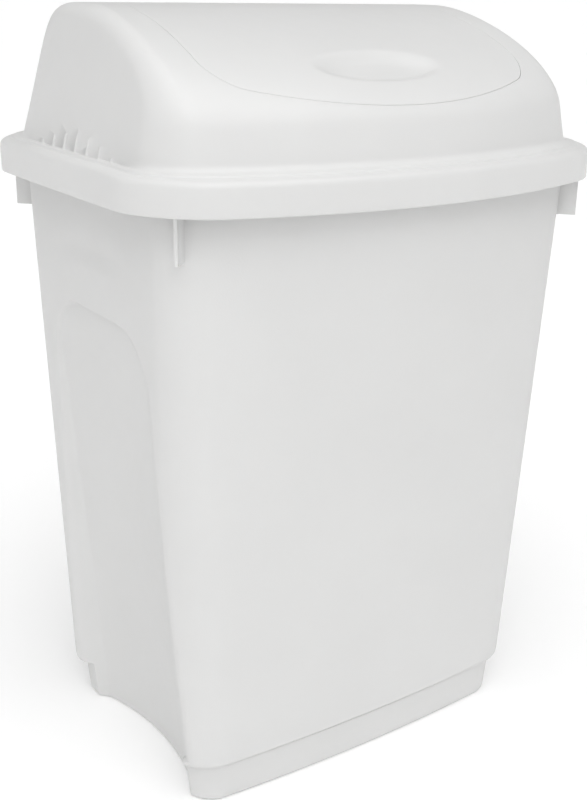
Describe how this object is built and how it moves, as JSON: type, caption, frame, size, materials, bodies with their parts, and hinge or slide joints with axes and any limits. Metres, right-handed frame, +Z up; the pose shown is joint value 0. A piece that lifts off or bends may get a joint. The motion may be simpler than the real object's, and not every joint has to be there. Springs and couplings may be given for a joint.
{
  "type": "litter bin",
  "caption": "Tapered plastic litter bin with rounded corners and recessed ends, a lift-off hood and a rocking flap with a push dish.",
  "frame": {"origin": "on the floor, under the middle of the bin", "axes": "+Z up, +X along the wide side, -Y towards the front, where the flap's low edge is"},
  "size_m": [0.4328, 0.3794, 0.6301],
  "materials": {
    "bin_white": "fine moulded texture, matte",
    "hood_white": "smooth, satin",
    "flap_white": "smooth, satin"
  },
  "bodies": {
    "bin": {"bin_body": "bin_white"},
    "lid": {"lid_hood": "hood_white"},
    "flap": {"swing_flap": "flap_white"}
  },
  "joints": [
    {"name": "lid_lift", "type": "slide", "parent": "bin", "child": "lid", "axis": [0, 0, 1], "range_m": [0, 0.25]},
    {"name": "flap_swing", "type": "hinge", "parent": "lid", "child": "flap", "pos_m": [0, -0.05134, 0.6087], "axis": [1, 0, 0], "range_deg": [-80, 80]}
  ]
}
